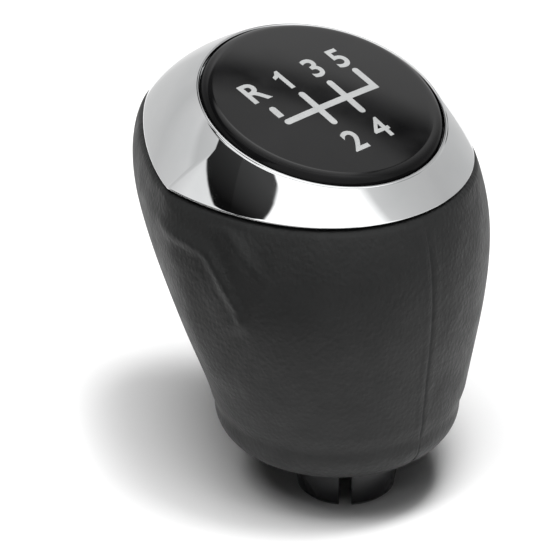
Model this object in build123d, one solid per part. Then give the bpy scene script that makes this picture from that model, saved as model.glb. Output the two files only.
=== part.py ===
from build123d import *
import os
from math import asin, cos, degrees, hypot, pi, radians, sin, tan

# Gear shift knob: a sewn leather cover on a moulded core, a plated ring and a domed cap with the
# shift pattern, and a slotted sleeve that pushes onto the lever.
# Millimetres and degrees. +Z up, +Y towards the front of the car, +X to its right.
# The origin is the centre of the lever bore's mouth, at the sleeve's lower end.

# Driving dimensions of the lever socket
lever_bore_radius = 6.0
bore_depth = 38.0
sleeve_wall = 2.3
sleeve_end_wall = 2.0
collar_tip_wall = 1.5
collar_taper_height = 4.0
collar_lead_in = 0.5
collar_slots = 4
first_slot_angle = 45.0
slot_width = 2.0
slot_end_land = 1.2
flange_width = 2.8
snap_bead = 0.5
snap_bead_height = 1.2
pad_radius = 5.0
pad_thickness = 3.0

# Driving dimensions of the body, over the leather
base_radius = 20.15
base_center_y = 2.2
base_z = 15.5
base_step = 0.35
hem_z = 8.6
hem_round = 7.1
waist_level = 0.4
waist_half_width = 26.15
waist_front = 31.4
waist_rear = 19.7
shoulder_level = 0.8
shoulder_side_bulge = 1.65
shoulder_front_bulge = 1.9
shoulder_rear_bulge = 2.05
rim_y = 8.2
rim_z = 57.35
rim_tilt = 2.8
rim_widest_y = 13.2
nose_taper = 0.4
nose_taper_power = 0.42
rear_fullness = 0.05
shadow_gap = 0.5
leather_thickness = 1.2
seam_width = 0.5
seam_depth = 0.45

# Driving dimensions of the cap and the ring
cap_radius = 19.5
cap_y = 5.95
cap_tilt = 17.0
cap_rear_height = 4.0
cap_rise = 1.2
cap_edge_radius = 2.0
cap_dome_rise = 0.5
cap_wall = 1.6
cap_legs = 3
leg_wall = 1.3
leg_angle = 30.0
leg_hook = 0.9
leg_hook_height = 1.2
side_band = 7.0
rear_band = 5.2
nose_band = 17.2
ring_lip = 0.65
ring_crown = 0.4
ring_land = 2.2
seat_depth = 1.2
ledge_width = 1.7
ledge_thickness = 1.4

# Driving dimensions of the core and the carrier
core_wall = 2.6
core_floor = 2.6
tube_wall = 2.4
core_ribs = 5
rib_thickness = 1.6
rib_drop = 6.0
boss_radius = 3.0
boss_hole_radius = 1.45
boss_hole_depth = 9.0
side_boss_x = 16.0
front_boss_y = 17.0
carrier_inset = 0.9
carrier_floor = 1.6
carrier_wall = 1.8
carrier_depth = 3.4
screw_head_radius = 2.8
screw_head_height = 1.5
screw_length = 8.0

# Clearances
slide_gap = 0.1
seat_gap = 0.15
screw_gap = 0.05

outline_points = 36


def tilted_plane(y, z, tilt):
    """A plane through (0, y, z) that rises towards the front by tilt."""
    return Plane(origin=(0, y, z), x_dir=(1, 0, 0), z_dir=(0, -sin(radians(tilt)), cos(radians(tilt))))


# Places that follow from the driving dimensions
cap_rear_y = cap_y - cap_radius * cos(radians(cap_tilt))
cap_front_y = cap_y + cap_radius * cos(radians(cap_tilt))
cap_z = (rim_z + (cap_rear_y - rim_y) * tan(radians(rim_tilt)) + cap_rear_height
         + cap_radius * sin(radians(cap_tilt)))
cap_plane = tilted_plane(cap_y, cap_z, cap_tilt)
rim_half_width = cap_radius + side_band
rim_front = cap_front_y + nose_band
rim_rear = rear_band - cap_rear_y
sleeve_radius = lever_bore_radius + sleeve_wall
sleeve_top = bore_depth + pad_thickness + sleeve_end_wall
flange_radius = sleeve_radius + flange_width
slot_height = hem_z - slot_end_land
tube_top = sleeve_top - snap_bead_height - slide_gap
core_bottom_z = hem_z + leather_thickness
floor_z = core_bottom_z + core_floor
core_top_drop = shadow_gap + leather_thickness
mouth_inset = leather_thickness + core_wall


def turns():
    """The angles at which every outline has a point, from the rear round to the right."""
    return [2 * pi * i / outline_points - pi / 2 for i in range(outline_points)]


def closed_face(plane, points):
    """A face on the plane inside a smooth closed line through the points."""
    return plane * make_face(Spline(points, periodic=True))


def egg_points(half_width, front, rear, widest_y, taper, fullness, center_y):
    """An egg about center_y: round at the rear, drawn in towards the front by taper."""
    points = []
    for turn in turns():
        side, ahead = cos(turn), sin(turn)
        if ahead > 0:
            x = half_width * side * (1 - taper * ahead)
            y = widest_y + (front - widest_y) * ahead
        else:
            x = half_width * side * (1 + fullness * ahead**2)
            y = widest_y + (rear + widest_y) * ahead
        points.append((x, y - center_y))
    return points


def circle_points(radius):
    """A circle with its points at the same angles as an egg's."""
    return [(radius * cos(turn), radius * sin(turn)) for turn in turns()]


def body_levels():
    """Level, half width, front and rear reach of the body's four sections."""
    return [
        (0.0, base_radius, base_center_y + base_radius, base_radius - base_center_y),
        (waist_level, waist_half_width, waist_front, waist_rear),
        (shoulder_level, rim_half_width + shoulder_side_bulge, rim_front + shoulder_front_bulge,
         rim_rear + shoulder_rear_bulge),
        (1.0, rim_half_width, rim_front, rim_rear),
    ]


def body_plane(level):
    """The plane of a section: level at the base, tilted at the rim."""
    return tilted_plane(rim_y * level, base_z + (rim_z - base_z) * level, rim_tilt * level)


def body_points(level, half_width, front, rear, inset):
    """One section's outline in its plane, drawn in by inset."""
    widest_y = base_center_y + (rim_widest_y - base_center_y) * level
    taper = nose_taper * level**nose_taper_power
    return egg_points(half_width - inset, front - inset, rear - inset, widest_y, taper,
                      rear_fullness * level, rim_y * level)


def rim_points(inset):
    """The rim's outline in its plane, drawn in by inset."""
    return body_points(1.0, rim_half_width, rim_front, rim_rear, inset)


def rim_slab(inset, bottom, top):
    """A slab with the rim's outline, between two heights above the rim's plane."""
    face = closed_face(body_plane(1.0).offset(bottom), rim_points(inset))
    return extrude(face, amount=top - bottom)


def base_band(inset):
    """The rounded underside below the base circle, drawn in by inset."""
    outer = base_radius - base_step - inset
    flat = base_radius - base_step - hem_round
    bottom = hem_z + inset
    edges = [
        Line((0, base_z), (outer, base_z)),
        EllipticalCenterArc((flat, base_z), outer - flat, base_z - bottom, 270, arc_size=90),
        Line((flat, bottom), (0, bottom)),
        Line((0, bottom), (0, base_z)),
    ]
    profile = Plane.XZ * make_face(Curve() + edges)
    return Pos(0, base_center_y, 0) * revolve(profile, Axis.Z)


def body(inset, top_drop):
    """The whole body, drawn in by inset and cut top_drop below the rim."""
    sections = []
    for level, half_width, front, rear in body_levels():
        sections.append(closed_face(body_plane(level), body_points(level, half_width, front, rear, inset)))
    top_plane = body_plane(1.0).offset(-top_drop)
    return split(loft(sections), bisect_by=top_plane, keep=Keep.BOTTOM) + base_band(inset)


def upright(radius, bottom, top):
    """A cylinder on the bore's axis."""
    return Pos(0, 0, bottom) * Cylinder(radius, top - bottom, align=(Align.CENTER, Align.CENTER, Align.MIN))


def make_leather_cover():
    """The sewn cover: an even wall, a hem under the ring, a hem round the sleeve and a rear seam."""
    cover = body(0, shadow_gap) - core_form
    cover -= rim_slab(mouth_inset, -core_top_drop, 0)
    cover -= upright(flange_radius + seat_gap, 0, base_z)
    slit = Box(seam_width, 2 * waist_rear, rim_z, align=(Align.CENTER, Align.MAX, Align.MIN))
    return cover - (slit - body(seam_depth, 0))


def screw_seats():
    """Where the screws pass the carrier's underside: one ahead of the sleeve and one each side of it."""
    underside = body_plane(1.0).offset(-shadow_gap - carrier_depth)
    places = [(0, front_boss_y), (-side_boss_x, 0), (side_boss_x, 0)]
    return [underside.location * Pos(x, y, 0) for x, y in places]


def make_knob_core():
    """The moulded core: an open shell with a sleeve tube, ribs to its wall and screw bosses."""
    cavity = body(mouth_inset, core_top_drop) - upright(base_radius, 0, floor_z)
    tube_radius = sleeve_radius + slide_gap + tube_wall
    kept = upright(tube_radius, 0, tube_top)
    rib_top = tube_top - rib_drop
    for i in range(core_ribs):
        reach = rim_front + base_radius
        rib = Box(reach, rib_thickness, rib_top, align=(Align.MIN, Align.CENTER, Align.MIN))
        kept += Rot(0, 0, 90 + 360 * i / core_ribs) * rib
    holes = upright(sleeve_radius + slide_gap, 0, tube_top)
    down = (Align.CENTER, Align.CENTER, Align.MAX)
    for seat in screw_seats():
        kept += seat * Cylinder(boss_radius, rim_z, align=down)
        holes += seat * Cylinder(boss_hole_radius, boss_hole_depth, align=down)
    return core_form - (cavity - kept) - holes


def make_top_carrier():
    """The tray in the core's mouth: its lip lies on the leather's hem and carries the ring."""
    plug_inset = mouth_inset + seat_gap
    plug_bottom = -shadow_gap - carrier_depth
    carrier = rim_slab(carrier_inset, -shadow_gap, 0) + rim_slab(plug_inset, plug_bottom, 0)
    carrier -= rim_slab(plug_inset + carrier_wall, plug_bottom + carrier_floor, 0)
    for seat in screw_seats():
        carrier -= seat * Cylinder(boss_hole_radius + slide_gap, 2 * carrier_depth)
    return carrier


def make_carrier_screws():
    """Three pan head screws that hold the carrier to the core's bosses."""
    screws = []
    up = (Align.CENTER, Align.CENTER, Align.MIN)
    down = (Align.CENTER, Align.CENTER, Align.MAX)
    for seat in screw_seats():
        head = Cylinder(screw_head_radius, screw_head_height, align=up)
        head = fillet(head.edges().sort_by(Axis.Z)[-1], screw_head_height / 2)
        shank = Cylinder(boss_hole_radius - screw_gap, screw_length, align=down)
        screws.append(seat * Pos(0, 0, carrier_floor) * (head + shank))
    return Compound(children=screws)


def make_chrome_ring():
    """The plated ring: a crowned shell from the body's rim to the cap, with a seat for the cap."""
    lip_radius = cap_radius + ring_lip
    middle = []
    for (rim_x, rim_ahead), (lip_x, lip_ahead) in zip(rim_points(0), circle_points(lip_radius)):
        x, y = (rim_x + lip_x) / 2, (rim_ahead + lip_ahead) / 2
        crown = 1 + ring_crown / hypot(x, y)
        middle.append((x * crown, y * crown))
    middle_plane = tilted_plane((rim_y + cap_y) / 2, (rim_z + cap_z) / 2, (rim_tilt + cap_tilt) / 2)
    shell = loft([closed_face(body_plane(1.0), rim_points(0)), closed_face(middle_plane, middle),
                  closed_face(cap_plane, circle_points(lip_radius))])
    roof_plane = cap_plane.offset(-seat_depth - ledge_thickness)
    shell -= loft([closed_face(body_plane(1.0), rim_points(ring_land)),
                   closed_face(roof_plane, circle_points(cap_radius - ring_lip))])
    down = (Align.CENTER, Align.CENTER, Align.MAX)
    seat = Cylinder(cap_radius + seat_gap, seat_depth + ring_lip, align=down)
    shell -= cap_plane * Pos(0, 0, ring_lip) * seat
    shell -= cap_plane * Cylinder(cap_radius - ledge_width, seat_depth + 2 * ledge_thickness, align=down)
    return shell


def make_shift_pattern_cap():
    """The domed cap: a round-edged lid on a skirt, with three legs that hook under the ring's ledge."""
    peak = cap_rise + cap_dome_rise
    inside = cap_radius - cap_wall
    ceiling = cap_rise - cap_wall
    # The dome runs smoothly into the round edge: the two arcs touch where their radii line up
    edge_r = cap_radius - cap_edge_radius
    edge_z = cap_rise - cap_edge_radius
    lift = peak - edge_z
    dome_radius = (edge_r**2 + lift**2 - cap_edge_radius**2) / (2 * (lift - cap_edge_radius))
    dome_angle = degrees(asin(edge_r / (dome_radius - cap_edge_radius)))
    edges = [
        Polyline((0, peak), (0, ceiling), (inside, ceiling), (inside, -seat_depth),
                 (cap_radius, -seat_depth), (cap_radius, edge_z)),
        CenterArc((edge_r, edge_z), cap_edge_radius, 0, 90 - dome_angle),
        CenterArc((0, peak - dome_radius), dome_radius, 90 - dome_angle, dome_angle),
    ]
    cap = revolve(Plane.XZ * make_face(Curve() + edges), Axis.Z)
    outer = cap_radius - ledge_width - seat_gap
    hook_top = -seat_depth - ledge_thickness - seat_gap
    leg_bottom = hook_top - leg_hook_height
    leg_edges = Polyline(
        (outer - leg_wall, ceiling), (outer, ceiling), (outer, hook_top), (outer + leg_hook, hook_top),
        (outer, leg_bottom), (outer - leg_wall, leg_bottom), close=True)
    leg = revolve(Plane.XZ * make_face(leg_edges), Axis.Z, leg_angle)
    for i in range(cap_legs):
        cap += Rot(0, 0, 90 - leg_angle / 2 + 360 * i / cap_legs) * leg
    return cap_plane * cap


def make_lever_sleeve():
    """The push-on sleeve: a slotted collar, a flange under the core and a snap bead over its tube."""
    tip_radius = lever_bore_radius + collar_tip_wall
    edges = Polyline(
        (0, sleeve_top - sleeve_end_wall), (pad_radius + slide_gap, sleeve_top - sleeve_end_wall),
        (pad_radius + slide_gap, bore_depth), (lever_bore_radius, bore_depth), (lever_bore_radius, 0),
        (tip_radius - collar_lead_in, 0), (tip_radius, collar_lead_in), (sleeve_radius, collar_taper_height),
        (sleeve_radius, hem_z), (flange_radius, hem_z), (flange_radius, core_bottom_z),
        (sleeve_radius, core_bottom_z), (sleeve_radius, tube_top + slide_gap),
        (sleeve_radius + snap_bead, tube_top + slide_gap), (sleeve_radius, sleeve_top),
        (0, sleeve_top), close=True)
    sleeve = revolve(Plane.XZ * make_face(edges), Axis.Z)
    for i in range(collar_slots):
        slot = Box(flange_radius, slot_width, slot_height, align=(Align.MIN, Align.CENTER, Align.MIN))
        sleeve -= Rot(0, 0, first_slot_angle + 360 * i / collar_slots) * slot
    return sleeve


def make_lever_pad():
    """The rubber pad that the lever's tip stops against."""
    return upright(pad_radius, bore_depth, bore_depth + pad_thickness)


# The core's outside is also the inside of the leather
core_form = body(leather_thickness, core_top_drop)
nodes = {
    "shift_pattern_cap": make_shift_pattern_cap,
    "chrome_ring": make_chrome_ring,
    "top_carrier": make_top_carrier,
    "carrier_screws": make_carrier_screws,
    "leather_cover": make_leather_cover,
    "knob_core": make_knob_core,
    "lever_sleeve": make_lever_sleeve,
    "lever_pad": make_lever_pad,
}
os.makedirs("parts", exist_ok=True)
for name, make in nodes.items():
    export_step(make(), "parts/" + name + ".step")
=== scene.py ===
from math import asin, cos, pi, radians, sin, tan

import bpy
import numpy as np
from mathutils import Matrix, Vector, noise


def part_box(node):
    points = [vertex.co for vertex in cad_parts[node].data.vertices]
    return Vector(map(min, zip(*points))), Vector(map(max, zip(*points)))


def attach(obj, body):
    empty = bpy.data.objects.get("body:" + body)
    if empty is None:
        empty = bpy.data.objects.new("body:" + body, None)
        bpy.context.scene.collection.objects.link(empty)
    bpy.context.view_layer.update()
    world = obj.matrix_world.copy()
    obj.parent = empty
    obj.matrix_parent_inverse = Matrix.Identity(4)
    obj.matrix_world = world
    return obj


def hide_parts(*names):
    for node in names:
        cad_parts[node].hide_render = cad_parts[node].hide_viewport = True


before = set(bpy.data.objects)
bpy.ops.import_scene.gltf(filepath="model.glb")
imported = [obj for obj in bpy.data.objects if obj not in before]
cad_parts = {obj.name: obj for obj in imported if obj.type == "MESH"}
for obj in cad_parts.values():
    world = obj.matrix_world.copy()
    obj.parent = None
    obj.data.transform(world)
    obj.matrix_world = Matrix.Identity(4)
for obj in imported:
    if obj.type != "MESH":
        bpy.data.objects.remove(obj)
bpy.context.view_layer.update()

# LEVER SLEEVE
# A black nylon push-on socket, injection moulded with a glossy skin. Its lower end is slotted into four
# fingers that grip the lever, and a flange stops it against the knob's core. Lengths are in millimetres.
mm = 0.001
bore_radius = 6.0
bore_depth = 38.0
sleeve_radius = 8.3
sleeve_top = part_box("lever_sleeve")[1].z / mm
flange_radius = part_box("lever_sleeve")[1].x / mm
flange_bottom, flange_top = 8.6, 9.8
finger_count = 4
slot_width, slot_height = 2.0, 7.4
roof_thickness, bead_height = 2.0, 1.2
pocket_radius, pocket_top = 5.1, sleeve_top - roof_thickness
bead_bottom, bead_width = sleeve_top - bead_height, 0.5
tip_radius, tip_chamfer, taper_height = 7.8, 0.7, 3.6
finger_steps = 16
soft_edge, soft_edge_angle = 0.14, 40


def add_node(tree, kind, values=None, **settings):
    """A node in the tree, with its settings, and each input set to a value or joined to a socket."""
    node = tree.nodes.new(kind)
    for setting, value in settings.items():
        setattr(node, setting, value)
    for place, value in (values or {}).items():
        if isinstance(value, bpy.types.NodeSocket):
            tree.links.new(value, node.inputs[place])
        else:
            node.inputs[place].default_value = value
    return node


def new_material(name, values):
    """A material with one Principled shader, its tree, the shader and the object's own coordinates."""
    material = bpy.data.materials.new(name)
    material.use_nodes = True
    tree = material.node_tree
    shader = tree.nodes["Principled BSDF"]
    for socket, value in values.items():
        shader.inputs[socket].default_value = value
    place = add_node(tree, "ShaderNodeTexCoord").outputs["Object"]
    return material, tree, shader, place


def cloud_noise(tree, place, size, detail=3.0):
    """The outputs of a cloudy noise with blobs of that size in millimetres."""
    return add_node(tree, "ShaderNodeTexNoise", {"Vector": place, "Scale": 1 / (size * mm), "Detail": detail}).outputs


def vary(tree, place, socket, size, low, high):
    """Cloudy noise with blobs of that size in millimetres drives the socket between two numbers or colours."""
    clouds = cloud_noise(tree, place, size)["Fac"]
    thin, thick = 0.3, 0.7
    if isinstance(low, float):
        spread = add_node(tree, "ShaderNodeMapRange", {"Value": clouds, "From Min": thin, "From Max": thick,
                                                       "To Min": low, "To Max": high})
        tree.links.new(spread.outputs["Result"], socket)
    else:
        ramp = add_node(tree, "ShaderNodeValToRGB", {"Fac": clouds})
        for element, position, colour in zip(ramp.color_ramp.elements, (thin, thick), (low, high)):
            element.position, element.color = position, (*colour, 1)
        tree.links.new(ramp.outputs["Color"], socket)
    return clouds


def roughen(tree, shader, height, depth, strength):
    """A bump of that depth in millimetres on the shader, from a height socket."""
    bump = add_node(tree, "ShaderNodeBump", {"Height": height, "Distance": depth * mm, "Strength": strength})
    tree.links.new(bump.outputs["Normal"], shader.inputs["Normal"])


def new_tree(name, sizes):
    """An empty Geometry Nodes tree with one named input for each size, and its group input and output."""
    tree = bpy.data.node_groups.new(name, "GeometryNodeTree")
    tree.interface.new_socket("Mesh", in_out="INPUT", socket_type="NodeSocketGeometry")
    tree.interface.new_socket("Mesh", in_out="OUTPUT", socket_type="NodeSocketGeometry")
    for size, value in sizes.items():
        kind = "NodeSocketInt" if isinstance(value, int) else "NodeSocketFloat"
        tree.interface.new_socket(size, in_out="INPUT", socket_type=kind)
    return tree, add_node(tree, "NodeGroupInput"), add_node(tree, "NodeGroupOutput")


def end_tree(tree, result, geometry, material):
    """Ends a tree: instances made real, and the material set."""
    real = add_node(tree, "GeometryNodeRealizeInstances", {"Geometry": geometry})
    painted = add_node(tree, "GeometryNodeSetMaterial", {"Geometry": real.outputs[0], "Material": material})
    tree.links.new(painted.outputs[0], result.inputs["Mesh"])


def spread_round(tree, count, shape):
    """Copies of a shape, turned evenly about the Z axis."""
    spots = add_node(tree, "GeometryNodePoints", {"Count": count})
    number = add_node(tree, "GeometryNodeInputIndex")
    share = add_node(tree, "ShaderNodeMath", {0: number.outputs[0], 1: count}, operation="DIVIDE")
    turn = add_node(tree, "ShaderNodeMath", {0: share.outputs[0], 1: 2 * pi}, operation="MULTIPLY")
    spin = add_node(tree, "ShaderNodeCombineXYZ", {"Z": turn.outputs[0]})
    return add_node(tree, "GeometryNodeInstanceOnPoints", {
        "Points": spots.outputs[0], "Instance": shape, "Rotation": spin.outputs[0]}).outputs[0]


def welded(tree, geometry, distance):
    """The mesh with points closer than the distance made one."""
    return add_node(tree, "GeometryNodeMergeByDistance", {"Geometry": geometry, "Distance": distance}).outputs[0]


def plain_mesh(thing):
    """Turns what the object's modifiers make into its own plain mesh."""
    solid = bpy.data.meshes.new_from_object(thing.evaluated_get(bpy.context.evaluated_depsgraph_get()))
    thing.modifiers.clear()
    thing.data = solid


def run_tree(thing, tree, sizes):
    """Runs a tree on the object with those sizes and keeps the result as its mesh."""
    step = thing.modifiers.new(tree.name, "NODES")
    step.node_group = tree
    for item in tree.interface.items_tree:
        if item.in_out == "INPUT" and item.name in sizes:
            step[item.identifier] = sizes[item.name]
    plain_mesh(thing)


def new_object(name, data):
    """An object at the origin of the scene."""
    thing = bpy.data.objects.new(name, data)
    bpy.context.scene.collection.objects.link(thing)
    return thing


def new_piece(name, points, faces):
    """An object at the origin with a mesh through points given in millimetres."""
    mesh = bpy.data.meshes.new(name)
    mesh.from_pydata([[c * mm for c in point] for point in points], [], faces)
    return new_object(name, mesh)


def fit_piece(thing, slot, *nodes, sharp=35):
    """Smooths the piece's shading up to the sharp angle, and puts it on the knob in place of its CAD nodes."""
    thing.data.shade_smooth()
    thing.data.set_sharp_from_angle(angle=radians(sharp))
    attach(thing, "root")
    if nodes:
        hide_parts(*nodes)


def sleeve_quarter():
    """One finger with the quarter of the sleeve above it, between the middles of two slots."""
    above = [(bore_radius, slot_height), (bore_radius, bore_depth), (pocket_radius, bore_depth),
             (pocket_radius, pocket_top), (0, pocket_top), (0, sleeve_top), (sleeve_radius, sleeve_top),
             (sleeve_radius + bead_width, bead_bottom), (sleeve_radius, bead_bottom),
             (sleeve_radius, flange_top), (flange_radius, flange_top), (flange_radius, flange_bottom),
             (sleeve_radius, flange_bottom), (sleeve_radius, slot_height)]
    finger = [(sleeve_radius, taper_height), (tip_radius, tip_chamfer), (tip_radius - tip_chamfer, 0),
              (bore_radius, 0)]
    rows = above + finger
    points = []
    for radius, height in rows:
        edge = pi / finger_count - asin(slot_width / 2 / max(radius, pocket_radius))
        turns = [-pi / finger_count, *np.linspace(-edge, edge, finger_steps + 1), pi / finger_count]
        points += [(radius * cos(turn), radius * sin(turn), height) for turn in turns]
    stations = finger_steps + 3

    def at(row, station):
        return row * stations + station

    last = len(above) - 1
    faces = []
    for station in range(stations - 1):
        in_slot = station in (0, stations - 2)
        for row in range(last):
            if rows[row][0] or rows[row + 1][0]:
                faces.append((at(row, station), at(row + 1, station), at(row + 1, station + 1), at(row, station + 1)))
        below = [last, 0] if in_slot else [*range(last, len(rows)), 0]
        for upper, lower in zip(below, below[1:]):
            faces.append((at(upper, station), at(lower, station), at(lower, station + 1), at(upper, station + 1)))
    side = [last, *range(len(above), len(rows)), 0]
    faces.append([at(row, 1) for row in reversed(side)])
    faces.append([at(row, stations - 2) for row in side])
    return points, faces


sleeve_black, tree, shader, place = new_material("sleeve_black", {"Specular IOR Level": 0.4})
vary(tree, place, shader.inputs["Base Color"], 5.0, (0.006, 0.006, 0.007), (0.013, 0.013, 0.014))
vary(tree, place, shader.inputs["Roughness"], 3.0, 0.16, 0.3)
roughen(tree, shader, cloud_noise(tree, place, 0.5, 4.0)["Fac"], 0.02, 0.25)

sizes = {"Fingers": finger_count, "Weld": 0.002 * mm}
tree, given, result = new_tree("fingers_round_the_sleeve", sizes)
quarters = spread_round(tree, given.outputs["Fingers"], given.outputs["Mesh"])
whole = add_node(tree, "GeometryNodeRealizeInstances", {"Geometry": quarters})
end_tree(tree, result, welded(tree, whole.outputs[0], given.outputs["Weld"]), sleeve_black)

lever_sleeve = new_piece("lever_sleeve_moulding", *sleeve_quarter())
run_tree(lever_sleeve, tree, sizes)
soft_edges = lever_sleeve.modifiers.new("soft_edges", "BEVEL")
soft_edges.width, soft_edges.segments, soft_edges.angle_limit = soft_edge * mm, 2, radians(soft_edge_angle)
plain_mesh(lever_sleeve)
fit_piece(lever_sleeve, "sleeve_black", "lever_sleeve")

# LEVER PAD
# A moulded rubber disc at the bottom of the sleeve's bore, where the lever's tip stops against it.
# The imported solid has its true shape, and gets a dull rubber finish.
pad_rubber, tree, shader, place = new_material("pad_rubber", {"Specular IOR Level": 0.3})
vary(tree, place, shader.inputs["Base Color"], 1.5, (0.018, 0.018, 0.018), (0.035, 0.035, 0.035))
vary(tree, place, shader.inputs["Roughness"], 1.0, 0.72, 0.88)


def dress_node(name, material):
    """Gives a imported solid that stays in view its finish."""
    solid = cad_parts[name]
    solid.data.materials.clear()
    solid.data.materials.append(material)


dress_node("lever_pad", pad_rubber)

# KNOB CORE
# The ribbed shell under the leather, moulded in black plastic with a matt, slightly swirled skin.
# The sleeve snaps into its tube, and its bosses take the screws of the carrier above.
core_plastic, tree, shader, place = new_material("core_plastic", {"Specular IOR Level": 0.4})
vary(tree, place, shader.inputs["Base Color"], 9.0, (0.035, 0.035, 0.037), (0.06, 0.06, 0.062))
flow = vary(tree, place, shader.inputs["Roughness"], 2.0, 0.45, 0.65)
roughen(tree, shader, flow, 0.03, 0.3)
dress_node("knob_core", core_plastic)

# LEATHER COVER
# Fine-grain black leather sewn into a sock with one seam at the rear, pulled over the core and folded in
# under the ring. It is creased above its rounded base, and stretched over a finger scallop on each flank.
base_z, base_radius, base_center_y = 15.5, 20.15, 2.2
band_radius, band_flat, band_bottom = 19.8, 12.7, 8.6
opening_gap = 0.15
opening_radius = flange_radius + opening_gap
leather_thickness = 1.2
rim_y, rim_z, rim_tilt = 8.2, 57.35, radians(2.8)
rim_widest_y = 13.2
nose_taper, nose_taper_power, rear_fullness = 0.4, 0.42, 0.05
levels = (0.0, 0.4, 0.8, 1.0)
half_widths = (base_radius, 26.15, 28.15, 26.5)
front_reaches = (base_center_y + base_radius, 31.4, 43.7, 41.8)
rear_reaches = (base_radius - base_center_y, 19.7, 19.95, 17.9)
shadow_gap, fold_radius, hem_width = 0.5, 0.9, 3.8
cover_columns, seam_crowding = 480, 0.7
wall_rows, fold_rows, hem_rows, turned_rows, inner_rows, inner_base_rows, base_rows = 140, 9, 4, 3, 13, 6, 30
flank_round, flank_round_fade = 0.08, 0.12
seam_x, seam_depth, seam_half_width, seam_run = -1.1, 0.13, 0.22, 1.0
seam_lip, seam_lip_place, seam_lip_width = 0.05, 0.9, 0.6
hem_slit_depth, hem_slit_half_width, hem_slit_z, hem_slit_run = 1.0, 0.3, 12.4, 1.5
stitch_pitch, pucker, pucker_reach = 3.2, 0.02, 1.6
crease_height, crease_depth, crease_width = 3.4, 0.42, 1.6
wave_size, wave_height, wave_fade_rows = 9.0, 0.05, 12
base_fade_rate, rim_fade_rate = 30, 40
far_off = 99.0

# Places on a flank are in degrees behind its middle and in shares of the body's height. A degree is flank_pitch wide,
# and lean_pitch wide square to the scallop's leaning edge. Each fade has a start and a run.
flank_pitch, lean_pitch = 0.58, 0.47
scallop_depth, scallop_run, scallop_top = 0.4, 8.0, 0.865
scallop_corner, scallop_corner_level, scallop_lean, scallop_round = 14.5, 0.875, 38.6, 5.0
scallop_front_fade, scallop_foot_fade = (-55, 45), (0.28, 0.3)
ridge = ((-8, 0.85), (4, 0.858), (12, 0.85), (15.2, 0.835), (18.1, 0.778), (21.4, 0.692), (23.6, 0.64), (23.6, 0.575),
         (20.3, 0.526))
ridge_height, ridge_width = 0.55, 1.3
ridge_front_fade, ridge_foot_fade = (-10, 14), (0.52, 0.08)
roll = ((20.5, 0.96), (25.5, 0.896), (29.4, 0.825), (32.3, 0.762), (35.0, 0.715))
roll_height, roll_width = 0.55, 1.7
roll_foot_fade = (0.7, 0.16)
body_height = rim_z - base_z


def egg(side, ahead, behind, half_width, front, rear, widest, taper, fullness):
    """A point of an egg outline: side is the cosine of the turn, ahead and behind its sine above and below 0."""
    x = side * half_width * (1 - ahead * taper + behind * behind * fullness)
    y = widest + ahead * (front - widest) + behind * (rear + widest)
    return x, y


def on_plane(x, y, origin_y, origin_z, tilt, height=0.0):
    """A point of a plane that rises towards the front by tilt, at a height over it."""
    return x, origin_y + y * cos(tilt) - height * sin(tilt), origin_z + y * sin(tilt) + height * cos(tilt)


def cover_turns():
    """The angles of the cover's columns, closer together at the rear seam."""
    share = np.arange(cover_columns) / cover_columns - 0.5
    return -pi / 2 + 2 * pi * (share * (1 - seam_crowding) + 4 * seam_crowding * share**3)


turns = cover_turns()
side, lengthwise = np.cos(turns), np.sin(turns)


def smooth(value):
    """0 below 0, 1 above 1 and an even bend between."""
    value = np.clip(value, 0, 1)
    return value * value * (3 - 2 * value)


def body_row(level, inset):
    """One row of the body at a level between base and rim, drawn in by inset: a cubic through four eggs.
    The leather rounds off the eggs' corner at the flanks, except at the rim."""
    row = np.zeros((cover_columns, 3))
    rounding = flank_round * smooth((1 - level) / flank_round_fade)
    ahead = (lengthwise + np.sqrt(lengthwise**2 + rounding**2)) / 2
    behind = lengthwise - ahead
    for known, half_width, front, rear in zip(levels, half_widths, front_reaches, rear_reaches):
        weight = np.prod([(level - other) / (known - other) for other in levels if other != known])
        widest = base_center_y + (rim_widest_y - base_center_y) * known
        x, y = egg(side, ahead, behind, half_width - inset, front - inset, rear - inset, widest,
                   nose_taper * known**nose_taper_power, rear_fullness * known)
        row += weight * np.column_stack(on_plane(x, y - rim_y * known, rim_y * known,
                                                 base_z + body_height * known, rim_tilt * known))
    return row


def band_row(share, inset):
    """One row of the rounded base, from under the crease (0) to the opening round the sleeve (1)."""
    outer, bottom = band_radius - inset, band_bottom + inset
    x = side * (outer * (1 - share) + opening_radius * share)
    y = (base_center_y + outer * np.sin(turns)) * (1 - share) + opening_radius * np.sin(turns) * share
    reach = np.clip((np.hypot(x, y - base_center_y) - band_flat) / (outer - band_flat), 0, 1)
    return np.column_stack([x, y, base_z - (base_z - bottom) * np.sqrt(1 - reach**2)])


from_seam = np.where(lengthwise < 0, side * half_widths[1] - seam_x, far_off)
seam_line = np.exp(-(from_seam / seam_half_width)**2)


def off_path(path, rearward, level):
    """Millimetres from each column at a level to a path given in degrees behind the flank and in levels."""
    spot = np.column_stack([rearward * flank_pitch, np.full(cover_columns, level * body_height)])
    corners = np.array(path) * (flank_pitch, body_height)
    nearest = np.full(cover_columns, far_off)
    for start, end in zip(corners, corners[1:]):
        run = end - start
        share = np.clip((spot - start) @ run / (run @ run), 0, 1)
        nearest = np.minimum(nearest, np.linalg.norm(spot - start - share[:, None] * run, axis=1))
    return nearest


def fade(value, start, run):
    """0 up to the start, 1 after the run and an even bend between."""
    return smooth((value - start) / run)


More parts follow.
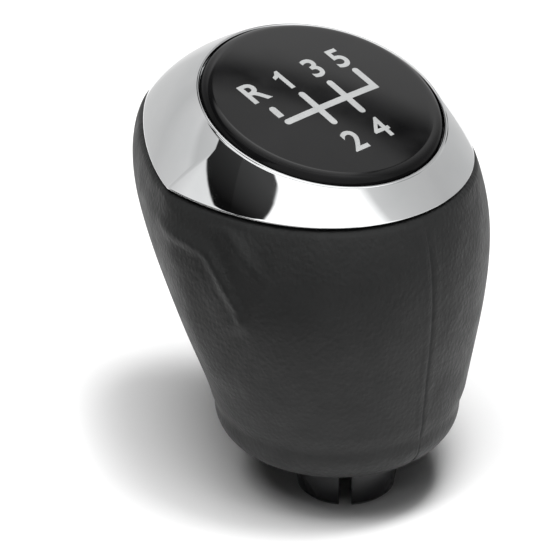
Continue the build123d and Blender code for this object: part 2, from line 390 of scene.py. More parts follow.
def cover_relief(level):
    """How far the leather stands off the plain body at a level: seam, puckers, scallops and folds."""
    height = level * body_height
    seam = -seam_depth * seam_line + seam_lip * np.exp(-((abs(from_seam) - seam_lip_place) / seam_lip_width)**2)
    pull = pucker * np.sin(2 * pi * height / stitch_pitch) * np.exp(-abs(from_seam) / pucker_reach)
    rearward = np.degrees(np.where(side < 0, turns - pi, -turns))
    rearward = (rearward + 180) % 360 - 180
    inward = lean_pitch * (scallop_corner + scallop_lean * (scallop_corner_level - level) - rearward)
    below = body_height * (scallop_top - level)
    mix = np.clip(0.5 + 0.5 * (below - inward) / scallop_round, 0, 1)
    depth_in = below * (1 - mix) + inward * mix - scallop_round * mix * (1 - mix)
    faded = fade(rearward, *scallop_front_fade) * fade(level, *scallop_foot_fade)
    scallop = -scallop_depth * smooth(depth_in / scallop_run) * faded
    folds = ridge_height * np.exp(-(off_path(ridge, rearward, level) / ridge_width)**2)
    folds *= fade(rearward, *ridge_front_fade) * fade(level, *ridge_foot_fade)
    folds += roll_height * np.exp(-(off_path(roll, rearward, level) / roll_width)**2) * fade(level, *roll_foot_fade)
    return seam + pull + scallop + folds


def cover_rows():
    """Every row of the leather, up its outside, over the fold, down its inside and back along its underside."""
    rows, relief = [], []
    top = 1 - (shadow_gap + fold_radius) / body_height
    for share in np.linspace(0, 1, wall_rows):
        level = top * share
        crease = max(0, 1 - level * body_height / crease_height)
        rows.append(body_row(level, crease_depth * smooth(crease)))
        relief.append(cover_relief(level) * smooth(min(level * base_fade_rate, (top - level) * rim_fade_rate)))
    for bend in np.linspace(0, pi / 2, fold_rows)[1:]:
        level = 1 - (shadow_gap + fold_radius * (1 - sin(bend))) / body_height
        rows.append(body_row(level, fold_radius * (1 - cos(bend))))
    hem_level = 1 - shadow_gap / body_height
    core_level = 1 - (shadow_gap + leather_thickness) / body_height
    rows += [body_row(hem_level, inset) for inset in np.linspace(fold_radius, hem_width, hem_rows)[1:]]
    rows += [body_row(core_level, inset) for inset in np.linspace(hem_width, leather_thickness, turned_rows)]
    rows += [body_row(core_level * (1 - share), leather_thickness) for share in np.linspace(0, 1, inner_rows)[1:]]
    bends = 1 - np.cos(np.linspace(0, pi / 2, inner_base_rows))
    rows += [band_row(share, leather_thickness) for share in bends]
    bends = 1 - np.cos(np.linspace(0, pi / 2, base_rows))
    for share in bends[:0:-1]:
        row = band_row(share, 0)
        drop = base_z - row[:, 2:]
        notch = (crease_depth - (base_radius - band_radius)) * np.exp(-(drop / crease_width)**2)
        notch += seam_depth * seam_line[:, None] * smooth(drop / seam_run)
        slit = np.exp(-(from_seam[:, None] / hem_slit_half_width)**2)
        notch += hem_slit_depth * slit * smooth((hem_slit_z - row[:, 2:]) / hem_slit_run)
        outward = row - np.array([0, base_center_y, 0])
        outward[:, 2] = 0
        rows.append(row - notch * outward / np.linalg.norm(outward, axis=1, keepdims=True))
    return np.array(rows), np.array(relief)


def ring_faces(row_count, columns):
    """Four-cornered faces between rows of points that close on themselves both ways."""
    faces = []
    for row in range(row_count):
        after = (row + 1) % row_count
        for column in range(columns):
            beside = (column + 1) % columns
            faces.append((row * columns + column, row * columns + beside, after * columns + beside,
                          after * columns + column))
    return faces


rows, relief = cover_rows()
along = np.gradient(rows[:wall_rows], axis=0)
around = np.roll(rows[:wall_rows], -1, axis=1) - np.roll(rows[:wall_rows], 1, axis=1)
outward = np.cross(around, along)
outward /= np.linalg.norm(outward, axis=2, keepdims=True)
for row in range(wall_rows):
    for column in range(cover_columns):
        wave = noise.noise(Vector(rows[row, column]) / wave_size)
        relief[row, column] += wave_height * wave * smooth(min(row, wall_rows - 1 - row) / wave_fade_rows)
rows[:wall_rows] += outward * relief[..., None]

cover_leather, tree, shader, place = new_material("cover_leather", {"Specular IOR Level": 0.29})
vary(tree, place, shader.inputs["Base Color"], 6.0, (0.005, 0.0053, 0.0053), (0.008, 0.0083, 0.0083))
vary(tree, place, shader.inputs["Roughness"], 4.0, 0.46, 0.58)
grain_stretch, grain_wander, wander_size = 0.78, 0.5, 1.1
pebble_size, pore_size, pore_share = 0.62, 0.28, 0.35
stretched = add_node(tree, "ShaderNodeMapping", {"Vector": place, "Scale": (1.0, 1.0, grain_stretch)}).outputs[0]
wander = cloud_noise(tree, stretched, wander_size, 2.0)["Color"]
bent = add_node(tree, "ShaderNodeVectorMath", {0: wander, 1: [grain_wander * mm] * 3}, operation="MULTIPLY")
moved = add_node(tree, "ShaderNodeVectorMath", {0: stretched, 1: bent.outputs[0]}, operation="ADD")
pebbles = add_node(tree, "ShaderNodeTexVoronoi", {"Vector": moved.outputs[0], "Scale": 1 / (pebble_size * mm)},
                   feature="SMOOTH_F1")
pores = cloud_noise(tree, place, pore_size)["Fac"]
grain = add_node(tree, "ShaderNodeMath", {0: pebbles.outputs["Distance"], 1: -1.0}, operation="MULTIPLY")
grain = add_node(tree, "ShaderNodeMath", {0: pores, 1: pore_share, 2: grain.outputs[0]}, operation="MULTIPLY_ADD")
roughen(tree, shader, grain.outputs[0], 0.12, 0.75)

leather_cover = new_piece("leather_cover_sewn", rows.reshape(-1, 3), ring_faces(len(rows), cover_columns))
leather_cover.data.materials.append(cover_leather)
fit_piece(leather_cover, "cover_leather", "leather_cover", sharp=50)

# TOP CARRIER
# A moulded tray screwed into the core's mouth. Its lip lies on the leather's fold and shows as the black
# line below the ring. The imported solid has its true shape, and gets a matt black finish.
carrier_black, tree, shader, place = new_material("carrier_black", {"Specular IOR Level": 0.25})
vary(tree, place, shader.inputs["Base Color"], 4.0, (0.004, 0.004, 0.004), (0.009, 0.009, 0.009))
vary(tree, place, shader.inputs["Roughness"], 2.0, 0.6, 0.75)
dress_node("top_carrier", carrier_black)

# CARRIER SCREWS
# Three zinc-plated pan head screws through the carrier into the core's bosses, hidden below the ring.
# The plating is bright with a cloudy bloom.
screw_steel, tree, shader, place = new_material("screw_steel", {"Metallic": 1.0})
vary(tree, place, shader.inputs["Base Color"], 0.8, (0.48, 0.48, 0.5), (0.6, 0.6, 0.61))
vary(tree, place, shader.inputs["Roughness"], 0.5, 0.25, 0.42)
dress_node("carrier_screws", screw_steel)

# CHROME RING
# A plastic moulding with a bright chrome plating, clipped over the carrier. It runs from the egg-shaped
# rim of the body up to a thin round lip, where the cap sits in a recess.
cap_radius = 19.5
cap_y, cap_tilt = 5.95, radians(17)
cap_rear_height = 4.0
cap_rear_y = cap_y - cap_radius * cos(cap_tilt)
cap_z = rim_z + (cap_rear_y - rim_y) * tan(rim_tilt) + cap_rear_height + cap_radius * sin(cap_tilt)
lip_radius, seat_radius, ledge_radius = 20.15, 19.65, 17.8
seat_depth, ledge_depth = 1.2, 2.6
roof_radius = 18.85
ring_land = 2.2
ring_columns = 384
edge_round, edge_share, edge_rows = 0.4, 0.06, 6
wall_start, wall_end, wall_stations = 0.09, 0.985, 42
lip_half_width, lip_drop, lip_rise, lip_start, lip_rows = 0.25, 0.12, 0.2, 0.15, 9
seat_edge_depth, foot_width = 0.35, 1.2
roof_start, roof_rows = 0.9, 8


class Field:
    """A number that a node tree carries, so that a rule can be written as a formula."""

    def __init__(self, tree, socket):
        self.tree = tree
        self.socket = socket

    def mix(self, operation, first, second):
        """What one operation makes of two numbers or fields."""
        values = {i: v.socket if isinstance(v, Field) else v for i, v in enumerate((first, second))}
        return Field(self.tree, add_node(self.tree, "ShaderNodeMath", values, operation=operation).outputs[0])

    def __add__(self, other):
        return self.mix("ADD", self, other)

    def __sub__(self, other):
        return self.mix("SUBTRACT", self, other)

    def __rsub__(self, other):
        return self.mix("SUBTRACT", other, self)

    def __mul__(self, other):
        return self.mix("MULTIPLY", self, other)

    def __truediv__(self, other):
        return self.mix("DIVIDE", self, other)

    __radd__ = __add__
    __rmul__ = __mul__


ring_chrome, tree, shader, place = new_material("ring_chrome", {"Metallic": 1.0, "IOR": 2.0})
vary(tree, place, shader.inputs["Base Color"], 12.0, (0.62, 0.63, 0.635), (0.68, 0.685, 0.69))
vary(tree, place, shader.inputs["Roughness"], 5.0, 0.025, 0.06)
roughen(tree, shader, cloud_noise(tree, place, 4.0, 2.0)["Fac"], 0.05, 0.12)

sizes = {"Half width": half_widths[-1], "Front": front_reaches[-1], "Rear": rear_reaches[-1],
         "Widest": rim_widest_y, "Taper": nose_taper, "Fullness": rear_fullness, "Lip radius": lip_radius,
         "Crown": 0.4}
tree, given, result = new_tree("ring_from_egg_to_round", sizes)


def told(name):
    """One of the named sizes of the tree in hand, as a field."""
    return Field(tree, given.outputs[name])


def carried(name):
    """A number that the ring's bare rows carry at each point, as a field."""
    reader = add_node(tree, "GeometryNodeInputNamedAttribute", {"Name": name}, data_type="FLOAT")
    return Field(tree, reader.outputs["Attribute"])


turn = carried("turn")
ring_side, ring_sine = turn.mix("COSINE", turn, 0.0), turn.mix("SINE", turn, 0.0)
ring_ahead, ring_behind = turn.mix("MAXIMUM", ring_sine, 0.0), turn.mix("MINIMUM", ring_sine, 0.0)
drawn_in = carried("inset")
rim_x, rim_ahead = egg(ring_side, ring_ahead, ring_behind, told("Half width") - drawn_in, told("Front") - drawn_in,
                       told("Rear") - drawn_in, told("Widest"), told("Taper"), told("Fullness"))
rim_ahead = rim_ahead - rim_y
full_x, full_ahead = egg(ring_side, ring_ahead, ring_behind, told("Half width"), told("Front"), told("Rear"),
                         told("Widest"), told("Taper"), told("Fullness"))
middle_x = (full_x + ring_side * told("Lip radius")) * 0.5
middle_y = (full_ahead - rim_y + ring_sine * told("Lip radius")) * 0.5
reach = turn.mix("SQRT", middle_x * middle_x + middle_y * middle_y, 0.0)
crowned = told("Crown") / reach + 1.0
at_rim = on_plane(rim_x, rim_ahead, rim_y, rim_z, rim_tilt)
at_middle = on_plane(middle_x * crowned, middle_y * crowned, (rim_y + cap_y) / 2, (rim_z + cap_z) / 2,
                     (rim_tilt + cap_tilt) / 2)
at_lip = on_plane(ring_side * carried("radius"), ring_sine * carried("radius"), cap_y, cap_z, cap_tilt,
                  carried("height"))
blend = carried("blend")
swell = blend * (1.0 - blend) * 4.0 * carried("crowned")
spot = []
for low, mid, high in zip(at_rim, at_middle, at_lip):
    straight = low * (1.0 - blend) + blend * high
    spot.append((straight + swell * (mid - (low + high) * 0.5)) * mm)
point = add_node(tree, "ShaderNodeCombineXYZ", {axis: field.socket for axis, field in zip("XYZ", spot)})
shaped = add_node(tree, "GeometryNodeSetPosition", {"Geometry": given.outputs["Mesh"], "Position": point.outputs[0]})
end_tree(tree, result, shaped.outputs[0], ring_chrome)

# Each station of the ring's section: blend from rim to lip, inset at the rim, radius and height at the lip,
# and whether the outside's crown applies.
stations = [(edge_share * (1 - cos(bend)), edge_round * (1 - sin(bend)), lip_radius, 0.0, 1.0)
            for bend in np.linspace(0, pi / 2, edge_rows)]
stations += [(share, 0.0, lip_radius, 0.0, 1.0) for share in np.linspace(wall_start, wall_end, wall_stations)]
lip_middle = (lip_radius + seat_radius) / 2
for bend in np.linspace(lip_start, pi - lip_start, lip_rows):
    stations.append((1.0, 0.0, lip_middle + lip_half_width * cos(bend), -lip_drop + lip_rise * sin(bend), 1.0))
stations += [(1.0, ring_land, radius, -depth, 0.0) for radius, depth in (
    (seat_radius, seat_edge_depth), (seat_radius, seat_depth), (ledge_radius, seat_depth),
    (ledge_radius, ledge_depth), (roof_radius, ledge_depth))]
stations += [(share, ring_land, roof_radius, -ledge_depth, 0.0) for share in np.linspace(roof_start, 0.0, roof_rows)]
stations.append((0.0, foot_width, lip_radius, 0.0, 0.0))
ring_turns = np.linspace(0, 2 * pi, ring_columns, endpoint=False)
chrome_ring = new_piece("chrome_ring_plated", np.zeros((len(stations) * ring_columns, 3)),
                        ring_faces(len(stations), ring_columns))
for name, values in zip(("blend", "inset", "radius", "height", "crowned"), np.array(stations).T):
    carrier = chrome_ring.data.attributes.new(name, "FLOAT", "POINT")
    carrier.data.foreach_set("value", np.repeat(values, ring_columns))
carrier = chrome_ring.data.attributes.new("turn", "FLOAT", "POINT")
carrier.data.foreach_set("value", np.tile(ring_turns, len(stations)))
run_tree(chrome_ring, tree, sizes)
fit_piece(chrome_ring, "ring_chrome", "chrome_ring", sharp=40)

# SHIFT PATTERN CAP
# A black moulded lid, gently domed and round at its edge. Its printed top has a clear gloss lacquer that
# thins out over the edge, and three legs on its underside hook below the ring's ledge.
cap_rise, cap_edge_radius, cap_dome_rise = 1.2, 2.0, 0.5
cap_wall = 1.6
cap_columns = 288
leg_count, leg_angle, leg_wall = 3, radians(30), 1.3
leg_gap, leg_root = 0.15, 0.3
leg_radius = ledge_radius - leg_gap
leg_top, leg_hook_top, leg_bottom, leg_hook = cap_rise - cap_wall + leg_root, -2.75, -3.95, 0.9
leg_steps = 8
dome_rows, bend_rows = 22, 18
lacquer_end, lacquer_run = 0.1, 1.3
cap_peak = cap_rise + cap_dome_rise
edge_r, edge_z = cap_radius - cap_edge_radius, cap_rise - cap_edge_radius
lift = cap_peak - edge_z
dome_radius = (edge_r**2 + lift**2 - cap_edge_radius**2) / (2 * (lift - cap_edge_radius))
dome_angle = asin(edge_r / (dome_radius - cap_edge_radius))
cap_frame = Matrix.Translation((0, cap_y * mm, cap_z * mm)) @ Matrix.Rotation(cap_tilt, 4, "X")


def lid_profile():
    """Radius and height of the lid's section, from its peak round the edge to the middle of its ceiling."""
    dome = [(dome_radius * sin(a), cap_peak - dome_radius * (1 - cos(a)))
            for a in np.linspace(0, dome_angle, dome_rows)]
    edge = [(edge_r + cap_edge_radius * sin(a), edge_z + cap_edge_radius * cos(a))
            for a in np.linspace(dome_angle, pi / 2, bend_rows)[1:]]
    inside = cap_radius - cap_wall
    ceiling = cap_rise - cap_wall
    return dome + edge + [(cap_radius, -seat_depth), (inside, -seat_depth), (inside, ceiling), (0, ceiling)]


def turned(profile, columns):
    """Points and faces of a section turned about the Z axis, with its two ends on the axis as single points."""
    points = [(0, 0, profile[0][1])]
    for radius, height in profile[1:-1]:
        for column in range(columns):
            turn = 2 * pi * column / columns
            points.append((radius * cos(turn), radius * sin(turn), height))
    points.append((0, 0, profile[-1][1]))
    last = len(points) - 1
    faces = []
    for column in range(columns):
        beside = (column + 1) % columns
        faces.append((0, 1 + column, 1 + beside))
        for row in range(len(profile) - 3):
            upper, lower = 1 + row * columns, 1 + (row + 1) * columns
            faces.append((upper + column, lower + column, lower + beside, upper + beside))
        edge = last - columns
        faces.append((last, edge + beside, edge + column))
    return points, faces


def joined(tree, *parts):
    """Several meshes of a tree as one."""
    whole = add_node(tree, "GeometryNodeJoinGeometry")
    for part in parts:
        tree.links.new(part, whole.inputs[0])
    return whole.outputs[0]


def hooked_leg():
    """One curved leg with its hook, centred on the front of the cap."""
    section = [(leg_radius - leg_wall, leg_top), (leg_radius, leg_top), (leg_radius, leg_hook_top),
               (leg_radius + leg_hook, leg_hook_top), (leg_radius, leg_bottom), (leg_radius - leg_wall, leg_bottom)]
    turns = np.linspace(pi / 2 - leg_angle / 2, pi / 2 + leg_angle / 2, leg_steps + 1)
    points = [(r * cos(turn), r * sin(turn), z) for turn in turns for r, z in section]
    corners = len(section)
    faces = [tuple(range(corners)), tuple(reversed(range(leg_steps * corners, (leg_steps + 1) * corners)))]
    for step in range(leg_steps):
        for corner in range(corners):
            a, b = step * corners + corner, step * corners + (corner + 1) % corners
            faces.append((a, a + corners, b + corners, b))
    return points, faces


cap_gloss_black, tree, shader, place = new_material("cap_gloss_black", {})
vary(tree, place, shader.inputs["Base Color"], 14.0, (0.003, 0.003, 0.0032), (0.006, 0.006, 0.0063))
vary(tree, place, shader.inputs["Roughness"], 7.0, 0.05, 0.12)
skirt = add_node(tree, "ShaderNodeAttribute", attribute_name="skirt")
lacquer = add_node(tree, "ShaderNodeMapRange", {"Value": skirt.outputs["Fac"], "To Min": 0.54, "To Max": 0.07})
tree.links.new(lacquer.outputs["Result"], shader.inputs["Specular IOR Level"])
roughen(tree, shader, cloud_noise(tree, place, 6.0, 1.0)["Fac"], 0.02, 0.06)

sizes = {"Legs": leg_count}
tree, given, result = new_tree("legs_under_the_cap", sizes)
leg = new_piece("cap_leg_pattern", *hooked_leg())
leg_shape = add_node(tree, "GeometryNodeObjectInfo", {"Object": leg})
legs = spread_round(tree, given.outputs["Legs"], leg_shape.outputs["Geometry"])
end_tree(tree, result, joined(tree, given.outputs["Mesh"], legs), cap_gloss_black)

shift_cap = new_piece("shift_pattern_cap_lid", *turned(lid_profile(), cap_columns))
skirt = shift_cap.data.attributes.new("skirt", "FLOAT", "POINT")
for spot, vertex in zip(skirt.data, shift_cap.data.vertices):
    spot.value = fade(vertex.co.xy.length / mm, edge_r + lacquer_end, lacquer_run)
run_tree(shift_cap, tree, sizes)
bpy.data.objects.remove(leg)
shift_cap.data.transform(cap_frame)
fit_piece(shift_cap, "cap_gloss_black", "shift_pattern_cap", sharp=40)

# SHIFT PATTERN
# The gate lines and gear numbers, screen printed on the cap in silver-grey ink: reverse to the far left,
# then three gates with five gears. The ink lies on the dome as a thin film with soft edges.
ink_thickness, ink_root = 0.045, 0.06
line_width = 1.2
half_line = line_width / 2
gate_pitch, gate_up, gate_down = 6.05, 4.5, 4.15
gate_lead, last_gate_rise = 1.05, 0.5
reverse_left, reverse_bottom, reverse_top = 0.6, 1.4, 4.05
pattern_x, pattern_y = 0.03, -1.95
digit_height, digits_up, digits_down = 4.6, 8.1, 8.35
digit_weight = 0.02
columns = [pattern_x + gate_pitch * step for step in (-1.5, -0.5, 0.5, 1.5)]
end_steps = 8


def bar(start, end, round_start, round_end, bar_steps=14):
    """Points and faces of one printed line between two points: a strip of short lengths, with its free ends round."""
    start, end = Vector(start), Vector(end)
    ahead = (end - start).normalized() * half_line
    left = Vector((-ahead.y, ahead.x))
    first = start + ahead if round_start else start
    last = end - ahead if round_end else end
    spine = [first.lerp(last, step / bar_steps) for step in range(bar_steps + 1)]
    points = [spot - left for spot in spine] + [spot + left for spot in spine]
    across = bar_steps + 1
    faces = [(step, step + 1, across + step + 1, across + step) for step in range(bar_steps)]
    bends = np.linspace(0, pi, end_steps)[1:-1]
    if round_end:
        faces.append((bar_steps, *range(len(points), len(points) + len(bends)), across + bar_steps))
        points += [last + ahead * sin(bend) - left * cos(bend) for bend in bends]
    if round_start:
        faces.append((across, *range(len(points), len(points) + len(bends)), 0))
        points += [first - ahead * sin(bend) + left * cos(bend) for bend in bends]
    return points, faces


def flat_print(shapes):
    """One flat mesh of several printed shapes."""
    points, faces = [], []
    for spots, sides in shapes:
        faces += [tuple(corner + len(points) for corner in side) for side in sides]
        points += [(spot[0], spot[1], 0) for spot in spots]
    return points, faces


print_silver, tree, shader, place = new_material("print_silver", {"Metallic": 0.7})
vary(tree, place, shader.inputs["Base Color"], 9.0, (0.52, 0.53, 0.53), (0.62, 0.63, 0.63))
vary(tree, place, shader.inputs["Roughness"], 2.0, 0.3, 0.42)
roughen(tree, shader, cloud_noise(tree, place, 0.2, 2.0)["Fac"], 0.01, 0.2)

sizes = {"Dome radius": dome_radius * mm, "Dome peak": cap_peak * mm, "Root": ink_root * mm,
         "Film": (ink_thickness + ink_root) * mm, "Weld": 0.001 * mm}
tree, given, result = new_tree("ink_on_the_dome", sizes)
where = add_node(tree, "ShaderNodeSeparateXYZ", {0: add_node(tree, "GeometryNodeInputPosition").outputs[0]})
flat_x, flat_y = Field(tree, where.outputs["X"]), Field(tree, where.outputs["Y"])
sag = (flat_x * flat_x + flat_y * flat_y) / (told("Dome radius") * 2.0)
rest = told("Dome peak") - sag - told("Root")
laid = add_node(tree, "ShaderNodeCombineXYZ", {"X": flat_x.socket, "Y": flat_y.socket, "Z": rest.socket})
one_sheet = welded(tree, given.outputs["Mesh"], given.outputs["Weld"])
on_dome = add_node(tree, "GeometryNodeSetPosition", {"Geometry": one_sheet, "Position": laid.outputs[0]})
upward = add_node(tree, "ShaderNodeCombineXYZ", {"Z": 1.0})
film = add_node(tree, "GeometryNodeExtrudeMesh", {
    "Mesh": on_dome.outputs[0], "Offset": upward.outputs[0], "Offset Scale": told("Film").socket,
    "Individual": False})
under = add_node(tree, "GeometryNodeFlipFaces", {"Mesh": on_dome.outputs[0]})
closed = welded(tree, joined(tree, film.outputs["Mesh"], under.outputs[0]), given.outputs["Weld"])
end_tree(tree, result, closed, print_silver)


def lay_on_cap(ink):
    """Turns a flat print into a film of ink in its place on the cap."""
    run_tree(ink, tree, sizes)
    ink.data.transform(cap_frame)
    fit_piece(ink, "cap_gloss_black", sharp=30)


lines = [bar((columns[0] - gate_lead, pattern_y), (columns[1] - half_line, pattern_y), True, False)]
for x, after in zip(columns[1:], columns[2:]):
    lines.append(bar((x + half_line, pattern_y), (after - half_line, pattern_y), False, False))
    lines.append(bar((x, pattern_y + half_line), (x, pattern_y + gate_up), False, True))
    lines.append(bar((x, pattern_y - half_line), (x, pattern_y - gate_down), False, True))
last_top = pattern_y + gate_up + last_gate_rise
lines.append(bar((columns[3], pattern_y + half_line), (columns[3], last_top), False, True))
lines += [bar((x - half_line, pattern_y), (x + half_line, pattern_y), False, False, bar_steps=1) for x in columns[1:]]
reverse_x = columns[0] - reverse_left
lines.append(bar((reverse_x, pattern_y + reverse_bottom), (reverse_x, pattern_y + reverse_top), False, True))
lay_on_cap(new_piece("printed_gate_lines", *flat_print(lines)))

# The figure 1 is a stem with a flag
stem_half, flag_reach, flag_head, flag_bend = 0.43, 1.3, 0.1, 0.68
bend_drop, tip_drop, root_drop, tip_bottom_drop = 0.7425, 1.0, 1.4, 1.75
stem_shift, tall = 0.1, digit_height / 2
stem_x, stem_y = columns[1] - stem_shift, pattern_y + digits_up
one = [(stem_half, -tall), (stem_half, tall), (-flag_head, tall), (-flag_bend, tall - bend_drop),
       (-flag_reach, tall - tip_drop), (-flag_reach, tall - tip_bottom_drop), (-stem_half, tall - root_drop),
       (-stem_half, -tall)]
one = [(stem_x + x, stem_y + y) for x, y in one]
lay_on_cap(new_piece("printed_gear_1", *flat_print([(one, [tuple(range(len(one)))])])))

# The figure 4 is a stem, a crossbar and a slope, round an open corner
four_shift, four_lift, four_half = 0.25, 0.3, 1.57
four_x, four_y = columns[2] - four_shift, pattern_y - digits_down + four_lift
bar_bottom, bar_top, slope_foot = -0.89, -0.14, -0.43
post_left, post_right, slope_head = 0.3, 1.1, 0.66
slope = (tall - slope_foot) / (slope_head + four_half)
slope_drop = 0.98
corner_top = slope_foot - slope_drop + slope * (post_left + four_half)
corner_left = post_left - (corner_top - bar_top) / slope
four = [(post_right, tall), (slope_head, tall), (-four_half, slope_foot), (-four_half, bar_bottom),
        (post_left, bar_bottom), (post_left, -tall), (post_right, -tall), (post_right, bar_bottom),
        (four_half, bar_bottom), (four_half, bar_top), (post_right, bar_top),
        (post_left, corner_top), (corner_left, bar_top), (post_left, bar_top)]
four = [(four_x + x, four_y + y) for x, y in four]
strokes = [(1, 2, 12, 11), (2, 3, 4, 13, 12), (0, 1, 11, 13, 10), (13, 4, 7, 10), (4, 5, 6, 7), (10, 7, 8, 9)]
lay_on_cap(new_piece("printed_gear_4", *flat_print([(four, strokes)])))

# The others are the built-in sans face made bold, each set near its gate's column
for sign, column, shift, y in (("R", 0, -0.35, digits_up), ("3", 2, 0.15, digits_up),
                               ("5", 3, -0.45, digits_up), ("2", 1, 0.0, -digits_down)):
    letter = bpy.data.curves.new("printed_" + sign, "FONT")
    letter.body = sign
    letter.fill_mode = "FRONT"
    letter.offset = digit_weight
    letter.resolution_u = 6
    sample = new_object("printed_" + sign, letter)
    outline = bpy.data.meshes.new_from_object(sample.evaluated_get(bpy.context.evaluated_depsgraph_get()))
    bpy.data.objects.remove(sample)
    corners = np.array([v.co for v in outline.vertices])
    low, high = corners.min(0), corners.max(0)
    size = digit_height * mm / (high[1] - low[1])
    middle = Vector(((low[0] + high[0]) / 2, (low[1] + high[1]) / 2, 0))
    outline.transform(Matrix.Translation(((columns[column] + shift) * mm, (pattern_y + y) * mm, 0))
                      @ Matrix.Scale(size, 4) @ Matrix.Translation(-middle))
    lay_on_cap(new_object("printed_gear_" + sign, outline))

# STUDIO
# A white floor, of which only a disc near the knob shows in the gloss, and a room that the chrome mirrors: a bright
# wide wall on the camera's side, paler walls round the rest, a lit ceiling with a skylight, and a dark card beside
# the camera. Four lamps light the floor and cast the shadow. Lengths are in metres from here.
floor_size, floor_drop = 6.0, 0.00005
disc_radius, disc_x, disc_y = 0.165, 0.078, 0.028
knob_middle = Vector((0, 0.004, 0.055))
floor_white, tree, shader, place = new_material("floor_white", {
    "Base Color": (0.92, 0.92, 0.92, 1), "Roughness": 0.9, "Specular IOR Level": 0.1})
bpy.ops.mesh.primitive_plane_add(size=floor_size, location=(0, 0, -floor_drop))
floor = bpy.context.object
floor.name = "studio_floor"
floor.visible_glossy = False
bpy.ops.mesh.primitive_circle_add(vertices=96, radius=disc_radius, fill_type="NGON", location=(disc_x, disc_y, 0))
near_floor = bpy.context.object
near_floor.name = "studio_near_floor"
for ground in (floor, near_floor):
    ground.data.materials.append(floor_white)


def toward(azimuth, elevation):
    """A direction in degrees as seen from the knob: azimuth 0 is behind it and 90 to its right."""
    a, e = radians(azimuth), radians(elevation)
    return Vector((sin(a) * cos(e), -cos(a) * cos(e), sin(e)))


def lamp(name, azimuth, elevation, distance, size, strength):
    """A square lamp that faces the knob and lights it without showing in its gloss. The strength is the light
    that falls on a card held square to the lamp."""
    light = bpy.data.lights.new(name, "AREA")
    light.size = size
    light.energy = strength * pi * distance ** 2
    holder = new_object(name, light)
    holder.location = knob_middle + toward(azimuth, elevation) * distance
    holder.rotation_euler = toward(azimuth, elevation).to_track_quat("Z", "Y").to_euler()
    holder.visible_glossy = False


lamp("overhead_lamp", -50, 78, 1.3, 0.8, 2.65)
lamp("shadow_lamp", 10, 78, 1.3, 0.35, 1.95)
lamp("left_lamp", -80, 56, 1.3, 0.35, 0.62)
lamp("front_lamp", -35, 56, 1.3, 0.8, 0.55)

room = bpy.data.worlds.new("studio_room")
room.use_nodes = True
tree = room.node_tree
looking = add_node(tree, "ShaderNodeTexCoord").outputs["Generated"]


def facing(direction):
    """The cosine of the angle between the line of sight and a direction, as a field."""
    node = add_node(tree, "ShaderNodeVectorMath", {0: looking, 1: direction}, operation="DOT_PRODUCT")
    return Field(tree, node.outputs["Value"])


dark_side = -95
opposite, beside, upright = facing(toward(dark_side + 180, 0)), facing(toward(dark_side + 270, 0)), facing((0, 0, 1))
turn = beside.mix("ARCTAN2", beside, opposite)
turn = add_node(tree, "ShaderNodeMapRange", {"Value": turn.socket, "From Min": -pi, "From Max": pi}).outputs["Result"]
rise = upright.mix("ARCSINE", upright, 0.0)


def panorama(stops):
    """A field that changes with the azimuth through the given stops, from the dark side round to it again."""
    ramp = add_node(tree, "ShaderNodeValToRGB", {"Fac": turn})
    while len(ramp.color_ramp.elements) < len(stops):
        ramp.color_ramp.elements.new(0.5)
    for element, (azimuth, value) in zip(ramp.color_ramp.elements, stops):
        element.position = (azimuth - dark_side) / 360
        element.color = (value, value, value, 1)
    return Field(tree, ramp.outputs["Color"])


def masked(light, value, softness, low=0.0):
    """The light times low where the value is below 0 and whole where it is above, with a soft edge."""
    edge = add_node(tree, "ShaderNodeMapRange", {"Value": value.socket, "From Min": -softness, "From Max": softness,
                                                 "To Min": low, "To Max": 1.0}, interpolation_type="SMOOTHSTEP")
    return Field(tree, edge.outputs["Result"]) * light


# The walls' light by azimuth, and where they end above and below, as shares of the way to the zenith or nadir
walls = panorama([(-92, 0.95), (-56, 1.0), (22, 0.98), (32, 0.5), (70, 0.36), (100, 0.42), (118, 0.45), (134, 0.52),
                  (146, 0.5), (152, 0.42), (170, 0.42), (182, 0.4), (196, 0.46), (208, 0.5), (214, 0.42),
                  (230, 0.46), (240, 0.62), (264, 0.68)])
tops = panorama([(-92, 0.68), (20, 0.68), (80, 0.62), (106, 0.48), (124, 0.515), (180, 0.5), (224, 0.44),
                 (240, 0.68), (264, 0.68)])
feet = panorama([(-92, 0.0), (-50, 0.02), (45, 0.05), (80, 0.5), (200, 0.5), (235, 0.1), (264, 0.0)])
wall_light, wall_softness, dark_share = 1.75, 0.03, 0.02
glow = walls * wall_light
for limit, level in ((tops, rise * -1.0), (feet, rise)):
    glow = masked(glow, limit * (pi / 2) + level, wall_softness, low=dark_share)

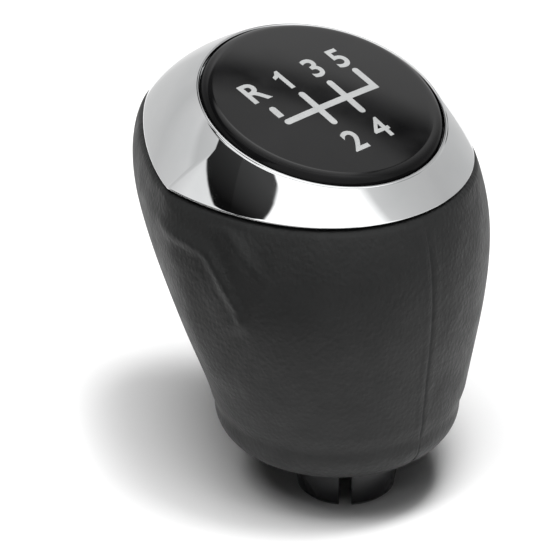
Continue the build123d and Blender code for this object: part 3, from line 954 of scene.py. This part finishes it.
# The dark card has three edges, each through two directions. It is darkest up to card_foot and less so above
# card_head, both elevations in radians.
card_edges = (((-74, 30), (-61, 45)), ((-124, 33), (-106, 19)), ((-60, 46), (-120, 46)))
card_softness = 0.012
card_foot, card_head, foot_dark, head_dark = 0.4, 0.75, 0.995, 0.955
card = 1.0
for first, second in card_edges:
    card = masked(card, facing(toward(*first).cross(toward(*second)).normalized()), card_softness)
shade = add_node(tree, "ShaderNodeMapRange", {"Value": rise.socket, "From Min": card_foot, "From Max": card_head,
                                              "To Min": -foot_dark, "To Max": -head_dark})
glow = glow * (card * Field(tree, shade.outputs["Result"]) + 1.0)

# The lit ceiling, from an elevation up, and the round skylight in it
ceiling_start, ceiling_light, ceiling_softness = radians(60), 1.25, 0.06
skylight_azimuth, skylight_elevation, skylight_reach = 112, 60, radians(12.5)
skylight_light, skylight_softness = 0.58, 0.004
glow = glow + masked(ceiling_light, rise - ceiling_start, ceiling_softness)
inside_skylight = facing(toward(skylight_azimuth, skylight_elevation)) - cos(skylight_reach)
glow = glow + masked(skylight_light, inside_skylight, skylight_softness)
tree.links.new(glow.socket, tree.nodes["Background"].inputs["Strength"])
tree.nodes["Background"].inputs["Color"].default_value = (1, 1, 1, 1)
room.cycles_visibility.diffuse = False
bpy.context.scene.world = room
bpy.context.scene.view_settings.view_transform = "Standard"

# CAMERA
# A long lens from behind and to the left of the knob, looking down on it. Its place and aim were fitted to the cap,
# the shift pattern and the base in the photograph.
view_azimuth, view_elevation, view_distance = -43.32, 27.95, 0.7583
aim_y, aim_z, aim_left, aim_down = 0.001083, 0.03792, 0.00993, 0.00102
lens = bpy.data.cameras.new("photo_camera")
lens.sensor_width, lens.lens = 36.0, 307.5
lens.clip_start = 0.05
camera = new_object("photo_camera", lens)
toward_camera = toward(view_azimuth, view_elevation)
screen_right = toward(view_azimuth + 90, 0)
screen_up = toward_camera.cross(screen_right)
aim = Vector((0, aim_y, aim_z)) - screen_right * aim_left - screen_up * aim_down
camera.location = aim + toward_camera * view_distance
camera.rotation_euler = toward_camera.to_track_quat("Z", "Y").to_euler()
bpy.context.scene.camera = camera
